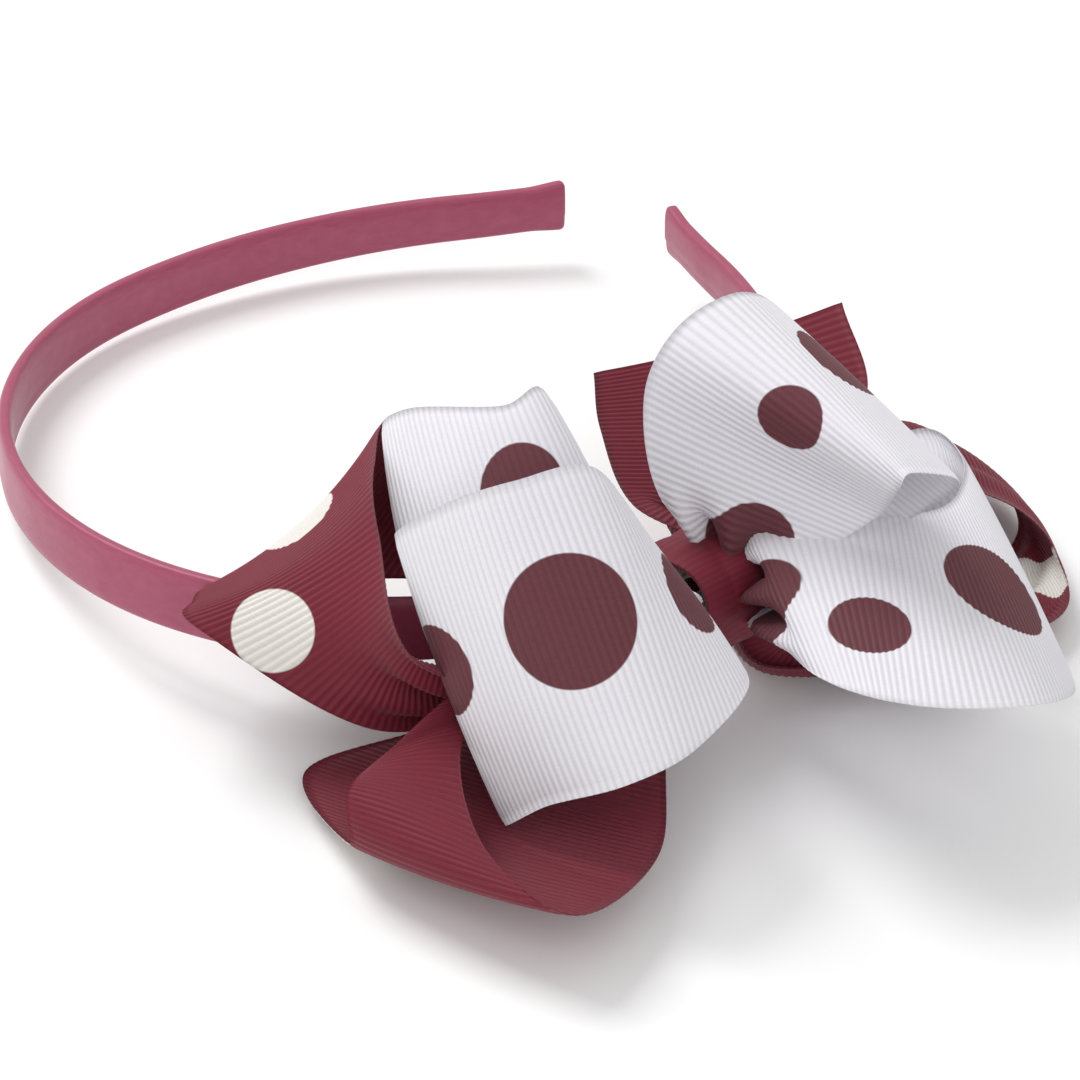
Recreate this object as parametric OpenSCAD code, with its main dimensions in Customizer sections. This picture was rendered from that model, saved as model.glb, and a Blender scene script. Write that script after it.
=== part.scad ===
// Hair bow on a satin headband: a springy C-shaped band covered in satin, carrying a double-layer
// bow of gathered grosgrain ribbon that is cinched with thread, glued on and wrapped by a knot.
// Millimetres. +Z is up, the object lies flat with its lowest points on Z = 0, the crown of the
// band is on the -Y side and its two tips open towards +Y.

/* [Headband] */
// Radius of the round crown part of the band, to its mid-line
crown_radius = 62; // [56:1:68]
// Arc of the crown on each side of its middle, in degrees
crown_arc = 108; // [104:1:112]
// Radius of the straighter arm that follows the crown
arm_radius = 108; // [100:4:140]
// Arc of each arm, in degrees
arm_arc = 33; // [28:1:36]
// Radius of the outward flare at each tip
flare_radius = 215; // [180:5:250]
// Arc of each flare, in degrees
flare_arc = 5; // [3:1:7]
// Height of the covered band at the middle of the crown
crown_height = 10.8; // [9:0.2:12]
// Height of the covered band at its tips
tip_height = 8; // [7:0.2:9]
// Thickness of the covered band
band_thickness = 2.4; // [2:0.1:3]
// Thickness of the satin cover
satin_thickness = 0.3; // [0.2:0.05:0.4]

/* [Bow] */
// Distance of the knot from the middle of the crown, along the band
knot_distance = 76; // [60:1:90]
// Angle of the bow's own axes from the band's axes, in degrees
bow_turn = 26; // [20:1:32]
// Thickness of one ribbon layer
ribbon_gauge = 0.6; // [0.4:0.1:0.8]
// Height of the ribbon where it is gathered inside the knot
gather_height = 5; // [4:0.5:6]

/* [Knot] */
// Width of the wrap, along the band
knot_width = 15; // [12:1:17]
// Depth of the wrap, from behind the band to its front
knot_depth = 17; // [15:0.5:19]
// Height of the wrap
knot_height = 18; // [16:0.5:20]

/* [Resting] */
// Lean of the object as it lies on a flat surface, in degrees
lean = 7; // [5:0.5:9]
// Height of the band's middle plane above the surface, at the centre of the opening
lift = 12.7; // [10:0.1:16]

/* [Hidden] */

satin_pink = "#a65870";
maroon = "#803a48";
white = "#e7e6eb";

band_rings = 64;
band_sides = 12;
fit_gap = 0.05;
lean_axis_angle = 80;
ribbon_steps = 40;
ribbon_spans = 4;
layer_pitch = 0.9;
first_layer = 2.8;
root_z = -3;
leaving_reach = 8;
leaving_height = 8;
knot_sides = 32;
knot_edge = 0.97;
knot_inside = 0.91;
knot_turn_z = -1.5;
knot_turn_out = 5.6;
thread_radius = 0.3;
thread_pitch = 0.7;
thread_ring = 4.3;
thread_out = 5.95;
glue_thickness = 0.7;
glue_radius = 3.5;
glue_z = -2;

// Each row of a loop is one rib of the ribbon: its point on the upper selvage, then its point on
// the lower selvage. Points are measured from the knot's place on the band, in the bow's own axes:
// Z is up, and the band's own axes turned by bow_turn give X and Y. How far a ribbon bulges between
// its selvages is given where each ribbon is made.
left_front_ribs = [
    [[-20, -14, 14], [-8, -24, -12]],
    [[-41, -25, 20], [-25, -45, -16]],
    [[-34, -34, 31], [-19, -53, -8]],
    [[-24, -36, 36], [-8, -57, -2]],
    [[-13, -32, 36], [2, -52, 1]],
    [[-6, -22, 20], [10, -35, 2]]
];
left_back_ribs = [
    [[-26, 10, 12], [-20, -6, -6]],
    [[-43, 3, 22], [-36, -26, 2]],
    [[-40, -4, 30], [-28, -36, 6]],
    [[-26, -14, 36], [-14, -38, 12]],
    [[-20, -11, 37], [-8, -30, 14]],
    [[-15, -8, 20], [-4, -18, 8]]
];
right_upper_ribs = [
    [[-2, -4, 14], [20, -6, 5]],
    [[-5, -1, 30], [30, -8, 14]],
    [[0, 3, 40], [32, -18, 24]],
    [[10, 14, 40], [34, -18, 27]],
    [[16, 26, 28], [42, -6, 18]],
    [[12, 20, 8], [30, 2, 4]]
];
right_lower_ribs = [
    [[12, -4, 9], [20, -34, 2]],
    [[32, 0, 9], [34, -42, 2]],
    [[42, 8, 7], [52, -34, -3]],
    [[45, 24, 6], [60, -14, -12]],
    [[38, 36, 4], [52, 10, -16]],
    [[18, 18, 0], [22, 4, -10]]
];
maroon_left_upper_ribs = [
    [[-24, 16, 11], [-30, 6, -6]],
    [[-42, 12, 20], [-66, -8, 2]],
    [[-45, -6, 22], [-72, -20, 6]],
    [[-44, -22, 19], [-70, -28, 6]],
    [[-38, -40, 8], [-44, -30, -10]],
    [[-14, -24, -6], [-20, -14, -12]]
];
maroon_left_lower_ribs = [
    [[-16, -24, 0], [-28, -30, 0]],
    [[-31, -38, -4], [-43, -46, -4]],
    [[-29, -62, -8], [-48, -54, -5]],
    [[-16, -75, -12], [-48, -54, -14]],
    [[-4, -56, -16], [-55, -33, -15]],
    [[-2, -38, -12], [-34, -16, -17]]
];
maroon_right_ribs = [
    [[32, 22, 3], [28, 38, -4]],
    [[53, 38, -10], [39, 64, -10]],
    [[62, 36, -19], [55, 60, -20]],
    [[58, 16, -20], [54, 42, -22]],
    [[14, -4, -15], [26, 14, -17]]
];
tail_ribs = [
    [[-6, 14, 3], [16, 20, 2]],
    [[-11, 29, 8], [31, 42, 6]],
    [[-12, 40, 12], [28, 60, 14]]
];

function unit(v) = v / norm(v);
function mix(a, b, t) = a * (1 - t) + b * t;

// A smooth curve through a list of points: t runs from 0 at the first to 1 at the last.
function beyond(p, i) =
    i < 0 ? 2 * p[0] - p[1]
    : i >= len(p) ? 2 * p[len(p) - 1] - p[len(p) - 2]
    : p[i];
function hermite(a, b, c, d, f) =
    b + (c - a) * f / 2
    + (2 * a - 5 * b + 4 * c - d) * f * f / 2
    + (3 * b - a - 3 * c + d) * f * f * f / 2;
function through(p, t) =
    let (s = t * (len(p) - 1), i = min(floor(s), len(p) - 2))
    hermite(beyond(p, i - 1), p[i], p[i + 1], beyond(p, i + 2), s - i);

// The band's mid-line: a crown arc, a flatter arm arc and a short outward flare on each side.
crown_length = crown_radius * crown_arc * PI / 180;
arm_length = arm_radius * arm_arc * PI / 180;
flare_length = flare_radius * flare_arc * PI / 180;
half_length = crown_length + arm_length + flare_length;

function arc_end(from, heading, radius, turn) =
    from + radius * [sin(heading + turn) - sin(heading), cos(heading) - cos(heading + turn)];
function along_arc(d, radius) = d / radius * 180 / PI;
crown_start = [0, -crown_radius];
arm_start = arc_end(crown_start, 0, crown_radius, crown_arc);
flare_start = arc_end(arm_start, crown_arc, arm_radius, arm_arc);
function half_point(d) =
    d <= crown_length ? arc_end(crown_start, 0, crown_radius, along_arc(d, crown_radius))
    : d <= crown_length + arm_length
    ? arc_end(arm_start, crown_arc, arm_radius, along_arc(d - crown_length, arm_radius))
    : arc_end(flare_start, crown_arc + arm_arc, -flare_radius,
        -along_arc(d - crown_length - arm_length, flare_radius));
function half_heading(d) =
    d <= crown_length ? along_arc(d, crown_radius)
    : d <= crown_length + arm_length ? crown_arc + along_arc(d - crown_length, arm_radius)
    : crown_arc + arm_arc - along_arc(d - crown_length - arm_length, flare_radius);
function side_of(d) = d < 0 ? -1 : 1;
function band_point(d) = let (p = half_point(abs(d))) [side_of(d) * p[0], p[1], 0];
function band_outward(d) =
    let (h = half_heading(abs(d))) [side_of(d) * sin(h), -cos(h), 0];

// One cross-section of the band, a rounded bar that narrows to the tips and closes over them.
function round_bar(c) = side_of(c) * pow(abs(c), 0.6);
function tip_round(d) = let (r = (half_length - abs(d)) / 4) r >= 1 ? 1 : sqrt(1 - pow(1 - r, 2));
function band_ring(d, inset) =
    let (
        full = mix(crown_height, tip_height, pow(abs(d) / half_length, 1.5)) / 2 - inset,
        half_height = full * mix(0.35, 1, tip_round(d)),
        half_thick = (band_thickness / 2 - inset) * mix(0.6, 1, tip_round(d)))
    [for (j = [0 : band_sides - 1])
        let (a = 360 * j / band_sides)
        band_point(d) + band_outward(d) * half_thick * round_bar(cos(a))
            + [0, 0, half_height * round_bar(sin(a))]];
function band_stations(reach) = [for (i = [0 : band_rings]) reach * sin(90 * (2 * i / band_rings - 1))];

// Lays the finished object down: it leans until the bow and the far side of the band both touch.
module laid() {
    translate([0, 0, lift])
        rotate(a = -lean, v = [cos(lean_axis_angle), sin(lean_axis_angle), 0])
            children();
}

// The bow's own axes, with the knot's place on the band as their origin.
module on_knot() {
    laid() translate(band_point(knot_distance)) rotate([0, 0, bow_turn]) children();
}
knot_heading = half_heading(knot_distance) - bow_turn;
knot_along = [cos(knot_heading), sin(knot_heading), 0];
knot_outward = [sin(knot_heading), -cos(knot_heading), 0];

// A closed solid from n rings of k points each. Its ends are closed by narrow faces that join the
// two halves of the ring, and k is even.
module lofted(rings) {
    n = len(rings);
    k = len(rings[0]);
    sides = [for (i = [0 : n - 2], j = [0 : k - 1])
        let (a = i * k + j, b = i * k + (j + 1) % k)
        each [[a, b, b + k], [a, b + k, a + k]]];
    last = (n - 1) * k;
    ends = [for (j = [0 : k / 2 - 2])
        let (a = j, b = j + 1, c = k - 2 - j, d = k - 1 - j)
        each [[a, c, b], [a, d, c], [last + a, last + b, last + c], [last + a, last + c, last + d]]];
    polyhedron(points = [for (r = rings) each r], faces = concat(sides, ends));
}

// Both faces of one rib of a ribbon, as a closed ring: up the front face and back down the rear.
function rib_ring(upper, lower, facing, crown) = concat(
    [for (j = [0 : ribbon_spans])
        let (v = j / ribbon_spans)
        mix(upper, lower, v) + facing * (crown * 4 * v * (1 - v) + ribbon_gauge / 2)],
    [for (j = [0 : ribbon_spans])
        let (v = 1 - j / ribbon_spans)
        mix(upper, lower, v) + facing * (crown * 4 * v * (1 - v) - ribbon_gauge / 2)]);

// The bulge follows a sine over swell degrees: 180 for a loop, 90 for a tail with a cut end.
module ribbon(ribs, crown, swell) {
    upper = [for (r = ribs) r[0]];
    lower = [for (r = ribs) r[1]];
    step = 1 / ribbon_steps;
    lofted([for (i = [0 : ribbon_steps])
        let (
            t = i * step,
            a = through(upper, t),
            b = through(lower, t),
            t0 = max(0, t - step / 2),
            t1 = min(1, t + step / 2),
            run = through(upper, t1) + through(lower, t1) - through(upper, t0) - through(lower, t0))
        rib_ring(a, b, unit(cross(b - a, run)), crown * sin(swell * t))]);
}

// Where a ribbon layer is gathered inside the knot: side is -1 on the left and 1 on the right.
function gathered(side, layer) =
    let (p = knot_along * side * 0.4 + knot_outward * (first_layer + layer * layer_pitch))
    [p + [0, 0, root_z + gather_height / 2], p + [0, 0, root_z - gather_height / 2]];

// The same layer where it leaves the knot's edge.
function leaving(side, layer) =
    let (p = knot_along * side * leaving_reach + knot_outward * (first_layer + layer * layer_pitch))
    [p + [0, 0, root_z + leaving_height / 2], p + [0, 0, root_z - leaving_height / 2]];

module loop(ribs, side, layers, crown) {
    first = [gathered(side, layers[0]), leaving(side, layers[0])];
    last = [leaving(side, layers[1]), gathered(side, layers[1])];
    on_knot() ribbon(concat(first, ribs, last), crown, 180);
}

module band_core() {
    color("white") laid()
        lofted([for (d = band_stations(half_length - satin_thickness))
            band_ring(d, satin_thickness + fit_gap)]);
}

module satin_cover() {
    color(satin_pink) laid() {
        outer = [for (d = band_stations(half_length)) band_ring(d, 0)];
        inner = [for (d = band_stations(half_length)) band_ring(d, satin_thickness)];
        k = band_sides;
        n = band_rings + 1;
        skin = [for (i = [0 : n - 2], j = [0 : k - 1])
            let (a = i * k + j, b = i * k + (j + 1) % k, s = n * k)
            each [[a, b, b + k], [a, b + k, a + k],
                [a + s, b + s + k, b + s], [a + s, a + s + k, b + s + k]]];
        ends = [for (j = [0 : k - 1])
            let (b = (j + 1) % k, s = n * k, e = (n - 1) * k)
            each [[j, j + s, b + s], [j, b + s, b],
                [e + j, e + b, e + b + s], [e + j, e + b + s, e + j + s]]];
        polyhedron(points = concat([for (r = outer) each r], [for (r = inner) each r]),
            faces = concat(skin, ends));
    }
}

module white_loop_left_front() { color(white) loop(left_front_ribs, -1, [6, 7], 1); }
module white_loop_left_back() { color(white) loop(left_back_ribs, -1, [4, 5], 1.5); }
module white_loop_right_upper() { color(white) loop(right_upper_ribs, 1, [5, 4], 0.5); }
module white_loop_right_lower() { color(white) loop(right_lower_ribs, 1, [7, 6], 0.5); }
module maroon_loop_left_upper() { color(maroon) loop(maroon_left_upper_ribs, -1, [2, 3], -3); }
module maroon_loop_left_lower() { color(maroon) loop(maroon_left_lower_ribs, -1, [1, 0], 1); }
module maroon_loop_right() { color(maroon) loop(maroon_right_ribs, 1, [2, 3], -1); }
module maroon_tail() {
    color(maroon) on_knot() ribbon(concat([gathered(1, 0), leaving(1, 0)], tail_ribs), -2, 90);
}

// The wrap: one closed turn of ribbon round the gathered layers and the band. Its turn is a rounded
// rectangle, so that it clears the corners of what it holds.
module knot_wrap() {
    middle = knot_outward * knot_turn_out + [0, 0, knot_turn_z];
    profile = [[-1, knot_edge], [0, 1], [1, knot_edge], [1, knot_inside], [0, knot_inside],
        [-1, knot_inside]];
    rings = [for (i = [0 : knot_sides - 1])
        let (a = 360 * i / knot_sides,
            depth = round_bar(cos(a)) * knot_depth / 2,
            height = round_bar(sin(a)) * knot_height / 2,
            out = knot_outward * depth + [0, 0, height])
        [for (c = profile) middle + knot_along * c[0] * knot_width / 2 + out * c[1]]];
    k = len(profile);
    n = knot_sides;
    color(maroon) on_knot()
        polyhedron(points = [for (r = rings) each r],
            faces = [for (i = [0 : n - 1], j = [0 : k - 1])
                let (a = i * k + j, b = i * k + (j + 1) % k,
                    c = ((i + 1) % n) * k + (j + 1) % k, d = ((i + 1) % n) * k + j)
                each [[a, b, c], [a, c, d]]]);
}

// Three turns of thread that hold the gathers together inside the knot.
module gather_thread() {
    color("white") on_knot()
        for (turn = [-1 : 1])
            translate(knot_along * turn * thread_pitch + knot_outward * thread_out + [0, 0, root_z])
                rotate([0, 90, knot_heading])
                    rotate_extrude($fn = 48)
                        translate([thread_ring, 0]) circle(r = thread_radius, $fn = 16);
}

// A thin pad of hot glue between the band and the gathered ribbons.
module glue_pad() {
    color("ivory") on_knot()
        translate(knot_outward * band_thickness / 2 + [0, 0, glue_z])
            rotate([90, 0, knot_heading])
                cylinder(h = glue_thickness, r = glue_radius, $fn = 32);
}

band_core();
satin_cover();
white_loop_left_front();
white_loop_left_back();
white_loop_right_upper();
white_loop_right_lower();
maroon_loop_left_upper();
maroon_loop_left_lower();
maroon_loop_right();
maroon_tail();
knot_wrap();
gather_thread();
glue_pad();
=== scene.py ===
"""The looks of a hair bow on a satin headband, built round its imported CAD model.

Lengths are written in millimetres and turned to metres when a mesh is made. The band and the
ribbons follow the same curves as the CAD model, so each piece lies where its CAD node lies.
"""

import math
from collections import namedtuple

import bpy
import numpy as np
from mathutils import Matrix, Vector


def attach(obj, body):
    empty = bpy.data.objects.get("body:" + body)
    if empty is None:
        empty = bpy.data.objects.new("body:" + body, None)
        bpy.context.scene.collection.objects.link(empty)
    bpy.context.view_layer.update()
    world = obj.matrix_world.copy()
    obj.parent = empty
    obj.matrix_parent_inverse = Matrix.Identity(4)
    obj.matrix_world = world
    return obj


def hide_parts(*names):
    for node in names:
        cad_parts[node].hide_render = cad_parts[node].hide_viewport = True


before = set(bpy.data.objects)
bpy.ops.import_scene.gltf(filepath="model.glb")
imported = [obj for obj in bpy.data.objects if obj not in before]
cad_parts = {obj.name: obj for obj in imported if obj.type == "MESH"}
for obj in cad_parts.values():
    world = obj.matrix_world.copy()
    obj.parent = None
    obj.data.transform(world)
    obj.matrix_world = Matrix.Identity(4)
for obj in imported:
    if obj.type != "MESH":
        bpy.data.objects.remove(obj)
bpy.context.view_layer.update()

MM = 0.001
BODY = "root"

# The band, as in the CAD model.
CROWN_RADIUS, CROWN_ARC = 62.0, 108.0
ARM_RADIUS, ARM_ARC = 108.0, 33.0
FLARE_RADIUS, FLARE_ARC = 215.0, 5.0
CROWN_HEIGHT, TIP_HEIGHT, BAND_THICKNESS = 10.8, 8.0, 2.4
SATIN_THICKNESS = 0.3
KNOT_DISTANCE, BOW_TURN = 76.0, 26.0
LEAN, LEAN_AXIS_ANGLE, LIFT = 7.0, 80.0, 12.7

# The gathers inside the knot, as in the CAD model.
GATHER_REACH, GATHER_HEIGHT = 0.4, 5.0
FIRST_LAYER, LAYER_PITCH, ROOT_Z = 2.8, 0.9, -3.0
LEAVING_REACH, LEAVING_HEIGHT = 8.0, 8.0

# Grosgrain ribbon.
WHITE_WIDTH, MAROON_WIDTH, TAIL_WIDTH = 50.0, 38.0, 46.0
RIBBON_GAUGE = 0.45
RIB_PITCH = 1.1
RIB_RELIEF = 0.09

# The ribbon's mesh: rows of points along it for each rib, and spans across it.
STATIONS_PER_RIB = 4
SPANS = 28

# Each row is one rib of a ribbon, as in the CAD model: its point on the upper selvage, then on
# the lower selvage, measured from the knot's place on the band in the bow's own axes.
LEFT_FRONT = [
    [[-20, -14, 14], [-8, -24, -12]],
    [[-41, -25, 20], [-25, -45, -16]],
    [[-34, -34, 31], [-19, -53, -8]],
    [[-24, -36, 36], [-8, -57, -2]],
    [[-13, -32, 36], [2, -52, 1]],
    [[-6, -22, 20], [10, -35, 2]],
]
LEFT_BACK = [
    [[-26, 10, 12], [-20, -6, -6]],
    [[-43, 3, 22], [-36, -26, 2]],
    [[-40, -4, 30], [-28, -36, 6]],
    [[-26, -14, 36], [-14, -38, 12]],
    [[-20, -11, 37], [-8, -30, 14]],
    [[-15, -8, 20], [-4, -18, 8]],
]
RIGHT_UPPER = [
    [[-2, -4, 14], [20, -6, 5]],
    [[-5, -1, 30], [30, -8, 14]],
    [[0, 3, 40], [32, -18, 24]],
    [[10, 14, 40], [34, -18, 27]],
    [[16, 26, 28], [42, -6, 18]],
    [[12, 20, 8], [30, 2, 4]],
]
RIGHT_LOWER = [
    [[12, -4, 9], [20, -34, 2]],
    [[32, 0, 9], [34, -42, 2]],
    [[42, 8, 7], [52, -34, -3]],
    [[45, 24, 6], [60, -14, -12]],
    [[38, 36, 4], [52, 10, -16]],
    [[18, 18, 0], [22, 4, -10]],
]
MAROON_LEFT_UPPER = [
    [[-24, 16, 11], [-30, 6, -6]],
    [[-42, 12, 20], [-66, -8, 2]],
    [[-45, -6, 22], [-72, -20, 6]],
    [[-44, -22, 19], [-70, -28, 6]],
    [[-38, -40, 8], [-44, -30, -10]],
    [[-14, -24, -6], [-20, -14, -12]],
]
MAROON_LEFT_LOWER = [
    [[-16, -24, 0], [-28, -30, 0]],
    [[-31, -38, -4], [-43, -46, -4]],
    [[-29, -62, -8], [-48, -54, -5]],
    [[-16, -75, -12], [-48, -54, -14]],
    [[-4, -56, -16], [-55, -33, -15]],
    [[-2, -38, -12], [-34, -16, -17]],
]
MAROON_RIGHT = [
    [[32, 22, 3], [28, 38, -4]],
    [[53, 38, -10], [39, 64, -10]],
    [[62, 36, -19], [55, 60, -20]],
    [[58, 16, -20], [54, 42, -22]],
    [[14, -4, -15], [26, 14, -17]],
]
TAIL = [
    [[-6, 14, 3], [16, 20, 2]],
    [[-11, 29, 8], [31, 42, 6]],
    [[-12, 40, 12], [28, 60, 14]],
]


# ---------------------------------------------------------------- curves and frames


def arc_end(start, heading, radius, turn):
    """Where an arc ends that leaves start on a heading and turns by so many degrees."""
    h = math.radians(heading)
    t = math.radians(turn)
    step = (math.sin(h + t) - math.sin(h), math.cos(h) - math.cos(h + t))
    return (start[0] + radius * step[0], start[1] + radius * step[1])


CROWN_LENGTH = CROWN_RADIUS * math.radians(CROWN_ARC)
ARM_LENGTH = ARM_RADIUS * math.radians(ARM_ARC)
FLARE_LENGTH = FLARE_RADIUS * math.radians(FLARE_ARC)
HALF_LENGTH = CROWN_LENGTH + ARM_LENGTH + FLARE_LENGTH
CROWN_START = (0.0, -CROWN_RADIUS)
ARM_START = arc_end(CROWN_START, 0, CROWN_RADIUS, CROWN_ARC)
FLARE_START = arc_end(ARM_START, CROWN_ARC, ARM_RADIUS, ARM_ARC)


def band_frame(d):
    """The band's mid-line point, outward direction and heading, d mm from the crown's middle."""
    side = -1 if d < 0 else 1
    d = abs(d)
    if d <= CROWN_LENGTH:
        heading = math.degrees(d / CROWN_RADIUS)
        p = arc_end(CROWN_START, 0, CROWN_RADIUS, heading)
    elif d <= CROWN_LENGTH + ARM_LENGTH:
        turn = math.degrees((d - CROWN_LENGTH) / ARM_RADIUS)
        heading = CROWN_ARC + turn
        p = arc_end(ARM_START, CROWN_ARC, ARM_RADIUS, turn)
    else:
        turn = math.degrees((d - CROWN_LENGTH - ARM_LENGTH) / FLARE_RADIUS)
        heading = CROWN_ARC + ARM_ARC - turn
        p = arc_end(FLARE_START, CROWN_ARC + ARM_ARC, -FLARE_RADIUS, -turn)
    h = math.radians(heading)
    point = np.array([side * p[0], p[1], 0.0])
    return point, np.array([side * math.sin(h), -math.cos(h), 0.0]), heading


def lean_axis():
    """The level line that the band is tipped about as it lies on the table."""
    a = math.radians(LEAN_AXIS_ANGLE)
    return Vector((math.cos(a), math.sin(a), 0))


# LAID takes the band's own axes to the table, and ON_KNOT takes the bow's own axes there.
LAID = Matrix.Translation((0, 0, LIFT)) @ Matrix.Rotation(math.radians(-LEAN), 4, lean_axis())
ON_KNOT = (
    LAID
    @ Matrix.Translation(Vector(band_frame(KNOT_DISTANCE)[0]))
    @ Matrix.Rotation(math.radians(BOW_TURN), 4, "Z")
)
KNOT_HEADING = math.radians(band_frame(KNOT_DISTANCE)[2] - BOW_TURN)
KNOT_ALONG = np.array([math.cos(KNOT_HEADING), math.sin(KNOT_HEADING), 0.0])
KNOT_OUTWARD = np.array([math.sin(KNOT_HEADING), -math.cos(KNOT_HEADING), 0.0])
UP = np.array([0.0, 0.0, 1.0])


def placed(points, matrix):
    """Points in millimetres, moved by the matrix and given in metres."""
    m = np.array(matrix)
    return (points @ m[:3, :3].T + m[:3, 3]) * MM


def through(points, t):
    """A smooth curve through the points, for an array of t from 0 to 1."""
    p = np.array(points, float)
    p = np.vstack([2 * p[0] - p[1], p, 2 * p[-1] - p[-2]])
    s = np.asarray(t) * (len(p) - 3)
    i = np.minimum(s.astype(int), len(p) - 4)
    f = (s - i)[:, None]
    a, b, c, d = p[i], p[i + 1], p[i + 2], p[i + 3]
    return (
        b
        + (c - a) * f / 2
        + (2 * a - 5 * b + 4 * c - d) * f**2 / 2
        + (3 * b - a - 3 * c + d) * f**3 / 2
    )


def smooth(x):
    """An even step from 0 to 1 that starts and ends level."""
    x = np.clip(x, 0, 1)
    return x * x * (3 - 2 * x)


def unit(v):
    """Vectors scaled to length 1."""
    return v / np.maximum(np.linalg.norm(v, axis=-1, keepdims=True), 1e-9)


def layer_rib(side, layer, reach, height):
    """A rib of a gathered layer, reach mm to one side of the knot's middle."""
    p = KNOT_ALONG * side * reach + KNOT_OUTWARD * (FIRST_LAYER + layer * LAYER_PITCH)
    half = height / 2
    return [list(p + UP * (ROOT_Z + half)), list(p + UP * (ROOT_Z - half))]


def gathered(side, layer):
    """The rib in the knot's middle."""
    return layer_rib(side, layer, GATHER_REACH, GATHER_HEIGHT)


def leaving(side, layer):
    """The rib where the layer leaves the knot's edge."""
    return layer_rib(side, layer, LEAVING_REACH, LEAVING_HEIGHT)


# ---------------------------------------------------------------- meshes


def mesh_object(name, points, faces, attributes=()):
    """A smooth-shaded mesh that rides on the part. An attribute is (name, type, values)."""
    mesh = bpy.data.meshes.new(name)
    mesh.from_pydata(points.tolist(), [], faces)
    for key, kind, values in attributes:
        layer = mesh.attributes.new(key, kind, "POINT")
        layer.data.foreach_set("vector" if kind == "FLOAT_VECTOR" else "value", values.ravel())
    mesh.polygons.foreach_set("use_smooth", [True] * len(mesh.polygons))
    mesh.update()
    obj = bpy.data.objects.new(name, mesh)
    bpy.context.scene.collection.objects.link(obj)
    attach(obj, BODY)
    return obj


def grid_faces(rows, columns, start, flipped):
    """Quads of a rows by columns grid of points, numbered from start."""
    faces = []
    for i in range(rows - 1):
        for j in range(columns - 1):
            a = start + i * columns + j
            quad = (a, a + columns, a + columns + 1, a + 1)
            faces.append(quad[::-1] if flipped else quad)
    return faces


def rim_faces(rows, columns):
    """The narrow faces that close two stacked grids along all four edges."""
    n = rows * columns
    loop = [i * columns for i in range(rows)]
    loop += [(rows - 1) * columns + j for j in range(1, columns)]
    loop += [i * columns + columns - 1 for i in range(rows - 2, -1, -1)]
    loop += [j for j in range(columns - 2, 0, -1)]
    after = loop[1:] + loop[:1]
    return [(b, a, a + n, b + n) for a, b in zip(loop, after)]


FINE_STEPS = 3000

# Pleats start and are full so many mm from the knot. They fold between the least and the most
# cloth, as a ratio of the flat width to the width there, and drift sideways by radians per mm.
PLEATS = 2.5
PLEAT_START, PLEAT_FULL = 7.0, 14.0
LEAST_FOLDED, MOST_FOLDED = 1.1, 4.0
PLEAT_GAIN = 2.95
PLEAT_DRIFT = 0.02
PLEAT_FADE = 6


def ribbon_stations(ribs):
    """Places along a ribbon an even distance apart: their t, and their distance from its start."""
    fine = np.linspace(0, 1, FINE_STEPS)
    middle = (through([r[0] for r in ribs], fine) + through([r[1] for r in ribs], fine)) / 2
    run = np.concatenate([[0], np.cumsum(np.linalg.norm(np.diff(middle, axis=0), axis=1))])
    count = int(run[-1] / RIB_PITCH * STATIONS_PER_RIB)
    along = np.linspace(0, run[-1], count + 1)
    return np.interp(along, run, fine), along


def ribbon_surface(ribs, crown, swell, flat_width, reach):
    """The ribbon's middle surface with its pleats, its normals, and its t and along.

    Between its selvages the ribbon bulges by crown mm. The bulge follows a sine that turns
    through swell degrees over the ribbon's length.
    """
    t, along = ribbon_stations(ribs)
    upper = through([r[0] for r in ribs], t)
    lower = through([r[1] for r in ribs], t)
    v = np.linspace(0, 1, SPANS + 1)
    base = upper[:, None] * (1 - v)[None, :, None] + lower[:, None] * v[None, :, None]
    run = np.gradient((upper + lower) / 2, axis=0)
    facing = unit(np.cross(lower - upper, run))
    bulge = crown * np.sin(np.radians(swell) * t)[:, None] * (4 * v * (1 - v))[None, :]
    base = base + facing[:, None] * bulge[..., None]
    normal = unit(np.cross(np.gradient(base, axis=1), np.gradient(base, axis=0)))
    width = np.linalg.norm(lower - upper, axis=1)
    base = base + normal * pleat_height(along, v, width, flat_width, reach)[..., None]
    normal = unit(np.cross(np.gradient(base, axis=1), np.gradient(base, axis=0)))
    return base, normal, t, along


def pleat_share(near, reach):
    """How much of its folds a ribbon has, near mm from the knot; they end reach mm from it."""
    rise = smooth((near - PLEAT_START) / (PLEAT_FULL - PLEAT_START))
    return rise * (1 - smooth((near / reach - 0.5) / 0.5))


def pleat_height(along, v, width, flat_width, reach):
    """Folds that run out of the knot, as deep as it takes to hold the cloth that is gathered."""
    folded = np.clip(flat_width / width, LEAST_FOLDED, MOST_FOLDED) - LEAST_FOLDED
    share = pleat_share(along, reach[0])
    if reach[1]:
        share = np.maximum(share, pleat_share(along[-1] - along, reach[1]))
    size = PLEAT_GAIN * np.sqrt(folded) * share * width / (2 * math.pi * PLEATS)
    wave = np.sin(2 * math.pi * PLEATS * v[None, :] + PLEAT_DRIFT * along[:, None])
    return size[:, None] * wave * smooth(PLEAT_FADE * v * (1 - v))[None, :]


SELVAGE_SQUARENESS = 24
SELVAGE_LEAST = 0.1


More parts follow.
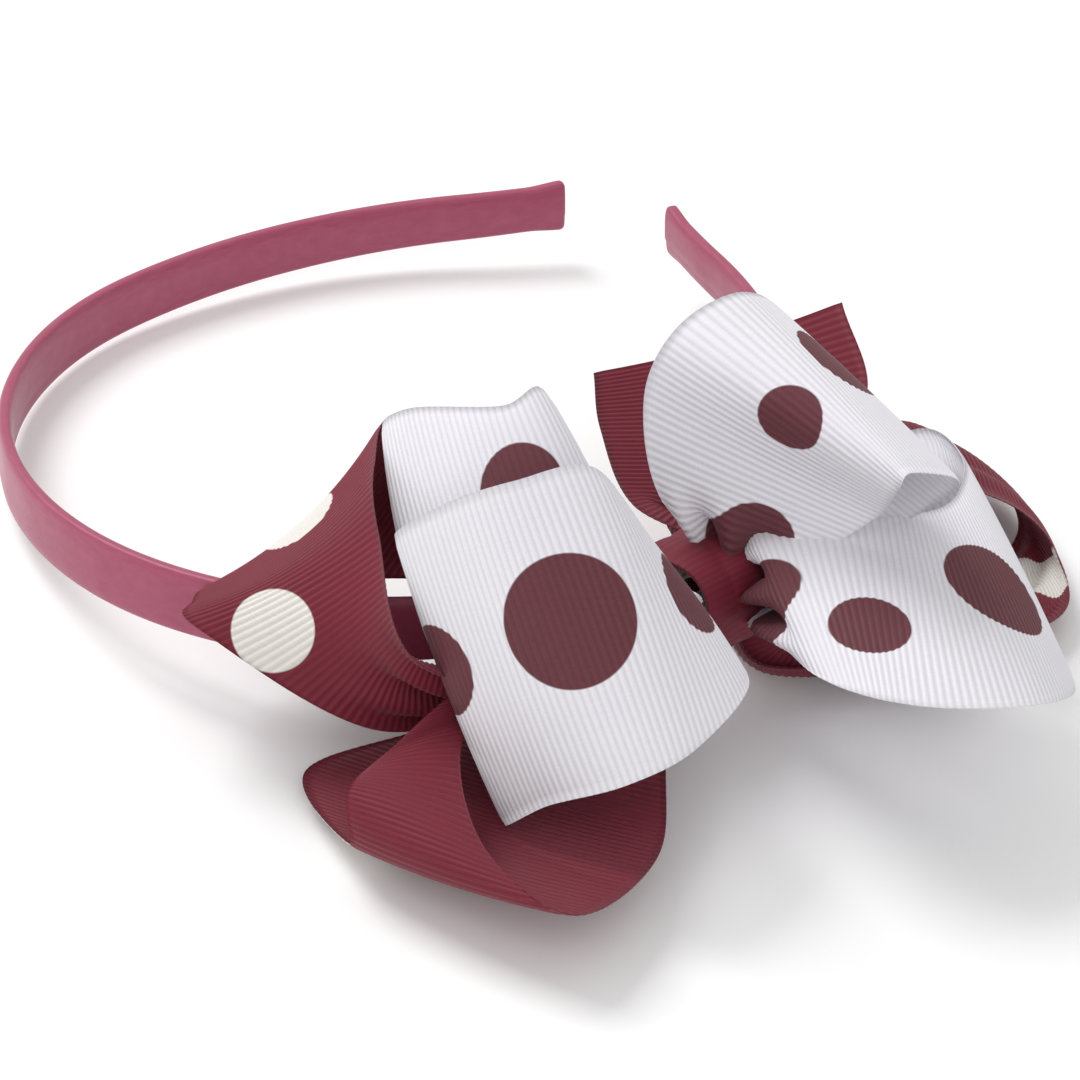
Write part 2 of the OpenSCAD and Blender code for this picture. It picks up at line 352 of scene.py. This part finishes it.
def ribbon(name, ribs, crown, swell, flat_width, reach):
    """A length of grosgrain with a front face, a rear face and rounded selvages.

    Gives the piece, its middle surface, and the t and distance of that surface's rows.
    """
    base, normal, t, along = ribbon_surface(ribs, crown, swell, flat_width, reach)
    rows, columns = base.shape[:2]
    v = np.linspace(0, 1, columns)
    edge = np.sqrt(np.clip(1 - np.abs(2 * v - 1) ** SELVAGE_SQUARENESS, SELVAGE_LEAST, 1))
    rib = RIB_RELIEF * np.cos(2 * math.pi * along / RIB_PITCH)
    half = (RIBBON_GAUGE / 2 + rib)[:, None] * edge[None, :]
    front = base + normal * half[..., None]
    rear = base - normal * half[..., None]
    points = np.concatenate([front.reshape(-1, 3), rear.reshape(-1, 3)])
    faces = grid_faces(rows, columns, 0, True)
    faces += grid_faces(rows, columns, rows * columns, False)
    faces += rim_faces(rows, columns)
    tt, vv = np.meshgrid(t, v, indexing="ij")
    on_front = np.stack([tt, vv, np.ones_like(tt)], -1).reshape(-1, 3)
    places = np.concatenate([on_front, on_front * [1, 1, 0]])
    run = np.tile(np.repeat(along * MM, columns), 2)
    piece = mesh_object(
        name,
        placed(points, ON_KNOT),
        faces,
        (("place", "FLOAT_VECTOR", places), ("along", "FLOAT", run)),
    )
    return piece, base, t, along


def dot_centre(base, t_all, t, v):
    """The world place of a dot, t along and v across a ribbon."""
    i = int(np.argmin(np.abs(t_all - t)))
    j = int(round(v * (base.shape[1] - 1)))
    return placed(base[i, j][None], ON_KNOT)[0]


# ---------------------------------------------------------------- materials


def srgb(r, g, b):
    """A screen colour, 0 to 255, as the linear colour that a shader socket takes."""

    def linear(c):
        c = c / 255
        return c / 12.92 if c <= 0.04045 else ((c + 0.055) / 1.055) ** 2.4

    return (linear(r), linear(g), linear(b), 1.0)


class Nodes:
    """Short calls for building one material's nodes."""

    def __init__(self, name):
        self.material = bpy.data.materials.new(name)
        self.material.use_nodes = True
        self.tree = self.material.node_tree
        self.shader = self.tree.nodes["Principled BSDF"]

    def add(self, kind, inputs=(), **settings):
        node = self.tree.nodes.new(kind)
        for key, value in settings.items():
            setattr(node, key, value)
        for key, value in dict(inputs).items():
            self.feed(node.inputs[key], value)
        return node

    def feed(self, socket, value):
        """Link a socket to another node's output, or set it to a plain value."""
        if isinstance(value, bpy.types.NodeSocket):
            self.tree.links.new(value, socket)
        else:
            socket.default_value = value

    def math(self, operation, *values):
        node = self.add("ShaderNodeMath", operation=operation)
        for socket, value in zip(node.inputs, values):
            self.feed(socket, value)
        return node.outputs[0]

    def mix(self, factor, a, b):
        node = self.add("ShaderNodeMix", data_type="RGBA")
        self.feed(node.inputs[0], factor)
        self.feed(node.inputs[6], a)
        self.feed(node.inputs[7], b)
        return node.outputs[2]

    def noise(self, vector, scale, detail=2.0):
        node = self.add("ShaderNodeTexNoise", {"Vector": vector, "Scale": scale, "Detail": detail})
        return node.outputs["Fac"]

    def scaled(self, vector, scale):
        node = self.add("ShaderNodeVectorMath", {0: vector, 1: scale}, operation="MULTIPLY")
        return node.outputs[0]

    def position(self):
        return self.add("ShaderNodeTexCoord").outputs["Object"]

    def set(self, **values):
        """Feed the main shader's sockets, named with underscores for spaces."""
        for key, value in values.items():
            self.feed(self.shader.inputs[key.replace("_", " ")], value)


# A dot's soft edge in mm, and how far along the ribbon's length it may show, as a share.
DOT_EDGE = 0.12
DOT_REACH = 0.12


def dot_mask(n, place, dots):
    """1 inside any dot on the ribbon's front. A dot is (centre, radius in mm, t)."""
    t = n.add("ShaderNodeSeparateXYZ", {0: place})
    soft = DOT_EDGE * MM
    total = 0.0
    for centre, radius, at in dots:
        distance = n.add(
            "ShaderNodeVectorMath", {0: n.position(), 1: tuple(centre)}, operation="DISTANCE"
        ).outputs["Value"]
        inside = n.add(
            "ShaderNodeMapRange",
            {
                "Value": distance,
                "From Min": radius * MM - soft,
                "From Max": radius * MM + soft,
                "To Min": 1.0,
                "To Max": 0.0,
            },
        ).outputs[0]
        here = n.math("COMPARE", t.outputs[0], at, DOT_REACH)
        total = n.math("MAXIMUM", n.math("MULTIPLY", inside, here), total)
    front = n.math("GREATER_THAN", t.outputs[2], 0.5)
    return n.math("MULTIPLY", total, front)


# Grosgrain's warp threads along and across a ribbon, how much they vary its tone, and the painted
# shade that darkens the hollows between ribs.
WARP_SCALE = (90.0, 150.0, 1.0)
THREAD_SHADE = 0.12
PAINTED_HOLLOW_SHADE = 0.86

# Satin's long shiny floats and its broader slubs, by mm along the band and turns round it.
FLOAT_SCALE = (3.0, 160.0, 1.0)
SLUB_SCALE = (0.35, 22.0, 1.0)


def grosgrain(name, ground, print_colour=None, dots=()):
    """Ribbed ribbon: painted shade in the hollows between lit rib tops, warp threads, and printed
    dots on the front.
    """
    n = Nodes(name)
    place = n.add("ShaderNodeAttribute", attribute_name="place").outputs["Vector"]
    along = n.add("ShaderNodeAttribute", attribute_name="along").outputs["Fac"]
    turns = n.math("MULTIPLY", along, 2 * math.pi / (RIB_PITCH * MM))
    rib = n.math("COSINE", turns)
    threads = n.noise(n.scaled(place, WARP_SCALE), 1.0)
    cloud = n.noise(n.position(), 60.0)
    colour = n.mix(cloud, ground[0], ground[1])
    if dots:
        mask = dot_mask(n, place, dots)
        ink = n.mix(threads, print_colour[0], print_colour[1])
        colour = n.mix(mask, colour, ink)
    # Painted shade: the colour darkens towards the hollows between ribs, where shade falls, and
    # stays full on the rib tops.
    painted_hollow_shade = n.add(
        "ShaderNodeMapRange",
        {"Value": rib, "From Min": -1.0, "From Max": 0.3, "To Min": PAINTED_HOLLOW_SHADE, "To Max": 1.0},
    ).outputs[0]
    grain = n.math("MULTIPLY_ADD", threads, THREAD_SHADE, 1 - THREAD_SHADE / 2)
    painted_shade_and_grain = n.math("MULTIPLY", painted_hollow_shade, grain)
    painted_shade_and_grain_colour = n.add("ShaderNodeCombineColor", {0: painted_shade_and_grain, 1: painted_shade_and_grain, 2: painted_shade_and_grain}).outputs[0]
    final = n.add("ShaderNodeMix", data_type="RGBA", blend_type="MULTIPLY")
    final.inputs[0].default_value = 1.0
    n.feed(final.inputs[6], colour)
    n.feed(final.inputs[7], painted_shade_and_grain_colour)
    n.set(Base_Color=final.outputs[2])
    rough = n.math("MULTIPLY_ADD", threads, 0.2, 0.5)
    n.set(Roughness=rough, Specular_IOR_Level=0.3, Sheen_Weight=0.08, Sheen_Roughness=0.5)
    height = n.math("MULTIPLY_ADD", threads, 0.35, n.math("MULTIPLY", rib, 0.5))
    bump = n.add("ShaderNodeBump", {"Strength": 0.5, "Distance": 0.08 * MM, "Height": height})
    n.set(Normal=bump.outputs[0])
    return n.material


def satin(name):
    """Fine satin: a soft sheen with long floats across the band and faint slubs."""
    n = Nodes(name)
    place = n.add("ShaderNodeAttribute", attribute_name="place").outputs["Vector"]
    floats = n.noise(n.scaled(place, FLOAT_SCALE), 1.0, 3.0)
    slubs = n.noise(n.scaled(place, SLUB_SCALE), 1.0, 2.0)
    cloud = n.noise(n.position(), 45.0)
    colour = n.mix(slubs, srgb(146, 54, 82), srgb(174, 84, 112))
    colour = n.mix(n.math("MULTIPLY", cloud, 0.5), colour, srgb(152, 60, 88))
    n.set(Base_Color=colour, Roughness=n.math("MULTIPLY_ADD", floats, 0.25, 0.3))
    n.set(Specular_IOR_Level=0.5, Sheen_Weight=0.2, Sheen_Roughness=0.35)
    height = n.math("ADD", n.math("MULTIPLY", slubs, 0.7), n.math("MULTIPLY", floats, 0.3))
    bump = n.add("ShaderNodeBump", {"Strength": 0.45, "Distance": 0.1 * MM, "Height": height})
    n.set(Normal=bump.outputs[0])
    return n.material


def plain(name, low, high, roughness, scale, **sockets):
    """A simple solid with slow colour variation and a fine surface grain."""
    n = Nodes(name)
    cloud = n.noise(n.position(), scale)
    n.set(Base_Color=n.mix(cloud, low, high), Roughness=roughness, **sockets)
    grain = n.noise(n.position(), scale * 20)
    bump = n.add("ShaderNodeBump", {"Strength": 0.2, "Distance": 0.05 * MM, "Height": grain})
    n.set(Normal=bump.outputs[0])
    return n.material


WHITE_GROUND = (srgb(226, 224, 230), srgb(233, 231, 236))
MAROON_GROUND = (srgb(108, 24, 42), srgb(122, 30, 50))
MAROON_PRINT = (srgb(92, 44, 52), srgb(108, 54, 62))
CREAM_PRINT = (srgb(222, 216, 210), srgb(232, 228, 222))


# ---------------------------------------------------------------- camera, light, floor


# The camera's place in mm, in axes parallel to the bow's own that start behind the bow, inside
# the band. The floor's height and size are in metres, and it lies just under the lowest ribbon.
PHOTO_ORIGIN = (50, 20, 0)
CAMERA_PLACE = (0, -690.0, 404.8)
CAMERA_PITCH = 59.6
CAMERA_LENS = 174.1
FLOOR_Z = -0.0009
FLOOR_HALF_SIZE = 4.0
WORLD_STRENGTH = 0.66


def add_camera():
    """The camera at the photograph's viewing angle."""
    data = bpy.data.cameras.new("camera")
    data.lens = CAMERA_LENS
    data.sensor_width = 36.0
    data.clip_start = 0.01
    camera = bpy.data.objects.new("camera", data)
    bpy.context.scene.collection.objects.link(camera)
    to_band = (
        Matrix.Translation((0, -CROWN_RADIUS, 0))
        @ Matrix.Rotation(math.radians(BOW_TURN), 4, "Z")
        @ Matrix.Translation(PHOTO_ORIGIN)
    )
    pose = Matrix.Translation(CAMERA_PLACE) @ Matrix.Rotation(math.radians(CAMERA_PITCH), 4, "X")
    world = LAID @ to_band @ pose
    world.translation = world.translation * MM
    camera.matrix_world = world
    bpy.context.scene.camera = camera


def add_floor():
    """A wide pale floor."""
    mesh = bpy.data.meshes.new("floor")
    half = FLOOR_HALF_SIZE
    corners = [(-half, -half, 0), (half, -half, 0), (half, half, 0), (-half, half, 0)]
    mesh.from_pydata(corners, [], [(0, 1, 2, 3)])
    floor = bpy.data.objects.new("floor", mesh)
    bpy.context.scene.collection.objects.link(floor)
    floor.location.z = FLOOR_Z
    floor.data.materials.append(
        plain("floor", srgb(250, 250, 250), srgb(252, 252, 252), 0.9, 3.0)
    )


def add_light(name, place, size, power):
    """A square soft light that faces the part, placed and sized in metres."""
    data = bpy.data.lights.new(name, "AREA")
    data.energy = power
    data.size = size
    light = bpy.data.objects.new(name, data)
    light.location = place
    light.rotation_euler = (-Vector(place)).to_track_quat("-Z", "Y").to_euler()
    bpy.context.scene.collection.objects.link(light)


def add_studio():
    """Even white surroundings, one key light from the left and a weaker fill from the front."""
    world = bpy.data.worlds.new("studio")
    world.use_nodes = True
    background = world.node_tree.nodes["Background"]
    background.inputs[0].default_value = (1, 1, 1, 1)
    background.inputs[1].default_value = WORLD_STRENGTH
    bpy.context.scene.world = world
    bpy.context.scene.view_settings.view_transform = "Standard"
    add_light("key", (-0.6, 0.1, 0.8), 0.5, 6.0)
    add_light("fill", (0.3, -0.8, 0.6), 0.9, 2.5)


# ---------------------------------------------------------------- the band


# Rings of points round the band: their mean spacing, as they crowd towards the tips, and the
# points in each ring. The last rings shrink by these shares to close a tip.
RINGS_PER_MM = 1.0
BAND_SIDES = 48
BAND_ANGLES = np.arange(BAND_SIDES) * 2 * math.pi / BAND_SIDES
TIP_CLOSING = (0.7, 0.35, 0.02)

# The band's section is a rounded rectangle: 1 would be an ellipse, and less is squarer.
SECTION_ROUNDNESS = 0.6

# The band narrows from crown to tip, slowly at first. At a tip the satin bunches a little
# wider, then rounds off over its last millimetre to these shares of its height and thickness.
TAPER_POWER = 1.5
TIP_FLARE, TIP_FLARE_LENGTH = 0.6, 7.0
TIP_ROUNDING = 1.0
TIP_HEIGHT_SHARE, TIP_THICKNESS_SHARE = 0.85, 0.6

# The satin's overlap on the inner face: its thickness, where it starts and how softly, as
# shares of half the band's height, and where the inner face begins.
SEAM_STEP = 0.22
SEAM_PLACE, SEAM_SOFTNESS = -0.42, 0.08
INNER_FACE = -0.3

# The sleeve's wall.
SLEEVE_WALL = SATIN_THICKNESS * 0.8


def squared(x, roundness):
    """A cosine or sine pushed outwards, so that the curve it draws is squarer than an ellipse."""
    return np.sign(x) * np.abs(x) ** roundness


def wrinkles(d, up):
    """Small waves of the satin: fine ones across the faces, and slow ones that tilt them."""
    fine = 0.05 * math.sin(d / 2.1 + 1.7 * math.sin(d / 9)) * (1 - up**2)
    slow = 0.04 * math.sin(d / 5.3 + 2.0) * up
    return fine + slow


def tip_rounding(left):
    """From 0 at a tip to 1 where the band has its full section, left mm from the tip."""
    share = min(1.0, left / TIP_ROUNDING)
    return math.sqrt(max(0.0, 1 - (1 - share) ** 2))


def band_section(d, inset):
    """Outward and upward offsets of the band's section; the outer wall has seam and wrinkles."""
    left = HALF_LENGTH - abs(d)
    tip = tip_rounding(left)
    taper = (abs(d) / HALF_LENGTH) ** TAPER_POWER
    full = (CROWN_HEIGHT * (1 - taper) + TIP_HEIGHT * taper) / 2 - inset
    flare = TIP_FLARE * (1 - smooth(left / TIP_FLARE_LENGTH))
    half_height = (full + flare) * (TIP_HEIGHT_SHARE + (1 - TIP_HEIGHT_SHARE) * tip)
    thinning = TIP_THICKNESS_SHARE + (1 - TIP_THICKNESS_SHARE) * tip
    half_thick = (BAND_THICKNESS / 2 - inset) * thinning
    out = squared(np.cos(BAND_ANGLES), SECTION_ROUNDNESS)
    up = squared(np.sin(BAND_ANGLES), SECTION_ROUNDNESS)
    if inset:
        return out * half_thick, up * half_height
    seam = SEAM_STEP * smooth((up - SEAM_PLACE) / SEAM_SOFTNESS) * (out < INNER_FACE)
    return out * (half_thick + wrinkles(d, up)) - seam, up * half_height


def shrunk(ring):
    """Smaller and smaller copies of a ring, which close the band's tip."""
    middle = ring.mean(axis=0)
    return [middle + (ring - middle) * share for share in TIP_CLOSING]


def tube_faces(rings, sides):
    """Quads between neighbouring rings, and one face over each end."""
    faces = []
    for i in range(rings - 1):
        for j in range(sides):
            a = i * sides + j
            b = i * sides + (j + 1) % sides
            faces.append((a, b, b + sides, a + sides))
    faces.append(tuple(range(sides))[::-1])
    faces.append(tuple((rings - 1) * sides + j for j in range(sides)))
    return faces


def band_skin(inset):
    """Points, faces and places of one closed wall of the satin sleeve."""
    count = int(2 * HALF_LENGTH * RINGS_PER_MM)
    reach = HALF_LENGTH - inset
    around = BAND_ANGLES / (2 * math.pi)
    rings = []
    places = []
    for i in range(count + 1):
        d = reach * math.sin(math.pi / 2 * (2 * i / count - 1))
        point, outward, _ = band_frame(d)
        out, up = band_section(d, inset)
        rings.append(point + out[:, None] * outward + up[:, None] * UP)
        places.append(np.stack([np.full_like(around, d), around, np.ones_like(around)], -1))
    rings = shrunk(rings[0])[::-1] + rings + shrunk(rings[-1])
    caps = len(TIP_CLOSING)
    places = [places[0]] * caps + places + [places[-1]] * caps
    return np.concatenate(rings), tube_faces(len(rings), BAND_SIDES), np.concatenate(places)


def add_band():
    """The satin sleeve: an outer and an inner wall, the inner one facing inwards."""
    outer, outer_faces, outer_places = band_skin(0)
    inner, inner_faces, inner_places = band_skin(SLEEVE_WALL)
    shift = len(outer)
    faces = outer_faces + [tuple(i + shift for i in f[::-1]) for f in inner_faces]
    band = mesh_object(
        "satin_sleeve",
        placed(np.concatenate([outer, inner]), LAID),
        faces,
        (("place", "FLOAT_VECTOR", np.concatenate([outer_places, inner_places])),),
    )
    band.data.materials.append(satin("satin"))
    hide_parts("satin_cover")


# ---------------------------------------------------------------- the bow


# A cloth's material slot, its width in mm, and its ground and print colours.
Cloth = namedtuple("Cloth", "slot width ground print_colour")
WHITE = Cloth("white_ribbon", WHITE_WIDTH, WHITE_GROUND, MAROON_PRINT)
MAROON = Cloth("maroon_ribbon", MAROON_WIDTH, MAROON_GROUND, CREAM_PRINT)

# The sides of the knot that a loop can lie to.
LEFT, RIGHT = -1, 1

# Printed dots, each (place along, place across, radius in mm): the places are shares of the ribbon.
LEFT_FRONT_DOTS = [(0.56, 0.45, 9.8), (0.365, 0.47, 7.0), (0.75, 0.47, 6.8), (0.2, 0.5, 9.6)]
LEFT_BACK_DOTS = [(0.545, 0.36, 6.5), (0.3, 0.6, 9.2), (0.8, 0.6, 6.5)]
RIGHT_UPPER_DOTS = [(0.215, 0.6, 7.0), (0.43, 0.53, 5.2), (0.61, 0.4, 7.5), (0.8, 0.6, 6.5)]
RIGHT_LOWER_DOTS = [
    (0.15, 0.15, 5.0),
    (0.185, 0.58, 7.0),
    (0.3, 0.62, 6.2),
    (0.46, 0.45, 9.2),
    (0.66, 0.4, 6.5),
    (0.8, 0.5, 9.2),
]
LEFT_UPPER_DOTS = [(0.58, 0.74, 6.2), (0.385, 0.5, 6.4), (0.25, 0.4, 6.4), (0.75, 0.5, 6.4)]
LEFT_LOWER_DOTS = [(0.6, 0.93, 6.4), (0.25, 0.4, 6.4)]
RIGHT_DOTS = [(0.6, 0.5, 6.4), (0.35, 0.4, 6.4)]


def add_ribbon(name, node, cloth, ribs, crown, reach, dots=(), swell=180):
    """One ribbon piece. Its pleats end reach mm from the knot, at its start and at its end.

    The ends crushed inside the knot are left out of its flat length.
    """
    piece, base, t, along = ribbon(name, ribs, crown, swell, cloth.width, reach)
    marks = [(dot_centre(base, t, at, v), radius, at) for at, v, radius in dots]
    piece.data.materials.append(grosgrain(name, cloth.ground, cloth.print_colour, marks))
    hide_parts(node)


def looped(ribs, side, first, last):
    """Ribs from one layer in the knot, round the loop and back to another layer."""
    start = [gathered(side, first), leaving(side, first)]
    return start + ribs + [leaving(side, last), gathered(side, last)]


def add_white_loops():
    """The white ribbons: two loops to each side of the knot."""
    add_ribbon(
        "left_front_loop",
        "white_loop_left_front",
        WHITE,
        looped(LEFT_FRONT, LEFT, 6, 7),
        crown=1,
        reach=(40, 24),
        dots=LEFT_FRONT_DOTS,
    )
    add_ribbon(
        "left_back_loop",
        "white_loop_left_back",
        WHITE,
        looped(LEFT_BACK, LEFT, 4, 5),
        crown=1.5,
        reach=(60, 30),
        dots=LEFT_BACK_DOTS,
    )
    add_ribbon(
        "right_upper_loop",
        "white_loop_right_upper",
        WHITE,
        looped(RIGHT_UPPER, RIGHT, 5, 4),
        crown=0.5,
        reach=(28, 36),
        dots=RIGHT_UPPER_DOTS,
    )
    add_ribbon(
        "right_lower_loop",
        "white_loop_right_lower",
        WHITE,
        looped(RIGHT_LOWER, RIGHT, 7, 6),
        crown=0.5,
        reach=(30, 70),
        dots=RIGHT_LOWER_DOTS,
    )


def add_maroon_loops():
    """The maroon ribbons: two loops to the left, one to the right, and the wider cut tail."""
    add_ribbon(
        "left_upper_loop",
        "maroon_loop_left_upper",
        MAROON,
        looped(MAROON_LEFT_UPPER, LEFT, 2, 3),
        crown=-3,
        reach=(40, 70),
        dots=LEFT_UPPER_DOTS,
    )
    add_ribbon(
        "left_lower_loop",
        "maroon_loop_left_lower",
        MAROON,
        looped(MAROON_LEFT_LOWER, LEFT, 1, 0),
        crown=1,
        reach=(40, 40),
        dots=LEFT_LOWER_DOTS,
    )
    add_ribbon(
        "right_loop",
        "maroon_loop_right",
        MAROON,
        looped(MAROON_RIGHT, RIGHT, 2, 3),
        crown=-1,
        reach=(90, 90),
        dots=RIGHT_DOTS,
    )
    add_ribbon(
        "tail",
        "maroon_tail",
        MAROON._replace(width=TAIL_WIDTH),
        [gathered(RIGHT, 0), leaving(RIGHT, 0)] + TAIL,
        crown=-2,
        reach=(28, 0),
        swell=90,
    )


# The knot's wrap, as in the CAD model, and the points round it and across it.
KNOT_WIDTH, KNOT_DEPTH, KNOT_HEIGHT = 15.0, 17.0, 18.0
KNOT_MIDDLE = KNOT_OUTWARD * 5.6 + UP * -1.5
KNOT_ROUNDNESS = 0.7
KNOT_ROWS, KNOT_COLUMNS = 160, 33

# Folds run round the wrap and wander a little from side to side. Its edges are drawn in, and
# its front is narrower than its back.
KNOT_FOLD_DEPTH, KNOT_FOLD_RATE, KNOT_FOLD_SHARPNESS = 0.45, 2.6, 0.7
KNOT_WANDER, KNOT_SECOND_WANDER = 0.5, 0.3
KNOT_EDGE_DROP = 0.5
KNOT_PINCH = 0.12

# Depths of folds are in mm on a ring of this radius, which starts a little inside the surface.
KNOT_RING_RADIUS, KNOT_RING_INSET = 8.0, 0.3

# The radius that spaces the wrap's ribs.
KNOT_RIB_RADIUS = 8.3


def knot_wall(inset):
    """One wall of the wrap, with the turn and the place across of each point."""
    a = np.linspace(0, 2 * math.pi, KNOT_ROWS, endpoint=False)
    w = np.linspace(-1, 1, KNOT_COLUMNS)
    out = squared(np.cos(a), KNOT_ROUNDNESS)
    up = squared(np.sin(a), KNOT_ROUNDNESS)
    ring = out[:, None] * KNOT_OUTWARD * KNOT_DEPTH / 2 + up[:, None] * UP * KNOT_HEIGHT / 2
    wander = KNOT_WANDER * np.sin(a[:, None]) + KNOT_SECOND_WANDER * np.sin(2 * a[:, None] + 1)
    ridge = np.abs(np.sin(KNOT_FOLD_RATE * w[None, :] + wander)) ** KNOT_FOLD_SHARPNESS
    fold = KNOT_FOLD_DEPTH * ridge
    drop = KNOT_EDGE_DROP * w[None, :] ** 2 + inset
    reach = 1 - (drop - fold + KNOT_RING_INSET) / KNOT_RING_RADIUS
    half = KNOT_WIDTH / 2 * (1 - KNOT_PINCH * np.clip(np.cos(a), 0, 1))
    across = (w[None, :] * half[:, None])[..., None] * KNOT_ALONG
    points = KNOT_MIDDLE + ring[:, None, :] * reach[..., None] + across
    aa, ww = np.meshgrid(a, w, indexing="ij")
    return points, aa, ww


def sleeve_faces(rows, columns):
    """Faces of an open sleeve with two walls, rows round it, and a rim along both edges."""
    n = rows * columns
    faces = []
    for i in range(rows):
        start = i * columns
        after = (i + 1) % rows * columns
        for j in range(columns - 1):
            a = start + j
            b = after + j
            faces.append((a, a + 1, b + 1, b))
            faces.append((n + a, n + b, n + b + 1, n + a + 1))
        last = start + columns - 1
        last_after = after + columns - 1
        faces.append((start, after, after + n, start + n))
        faces.append((last, last + n, last_after + n, last_after))
    return faces


def add_knot():
    """The ribbon wrapped round the gathers and the band."""
    outer, aa, ww = knot_wall(0)
    inner, _, _ = knot_wall(RIBBON_GAUGE)
    points = np.concatenate([outer.reshape(-1, 3), inner.reshape(-1, 3)])
    place = np.stack([aa / (2 * math.pi), ww / 2 + 0.5, np.ones_like(aa)], -1).reshape(-1, 3)
    around = (aa * KNOT_RIB_RADIUS * MM).ravel()
    knot = mesh_object(
        "knot_ribbon",
        placed(points, ON_KNOT),
        sleeve_faces(KNOT_ROWS, KNOT_COLUMNS),
        (
            ("place", "FLOAT_VECTOR", np.concatenate([place, place])),
            ("along", "FLOAT", np.tile(around, 2)),
        ),
    )
    knot.data.materials.append(grosgrain("knot_ribbon", MAROON_GROUND))
    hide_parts("knot_wrap")


def dress_hidden_nodes():
    """Better materials for the CAD nodes that stay: the strip, the thread and the glue."""
    looks = {
        "band_core": plain("strip", srgb(225, 222, 215), srgb(236, 233, 226), 0.35, 80.0),
        "gather_thread": plain("thread", srgb(228, 224, 218), srgb(242, 240, 235), 0.7, 900.0),
        "glue_pad": plain("glue", srgb(222, 214, 190), srgb(236, 230, 210), 0.2, 200.0),
    }
    for node, material in looks.items():
        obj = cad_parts[node]
        for slot in obj.material_slots:
            slot.material = material


add_camera()
add_floor()
add_studio()
add_band()
add_knot()
add_white_loops()
add_maroon_loops()
dress_hidden_nodes()
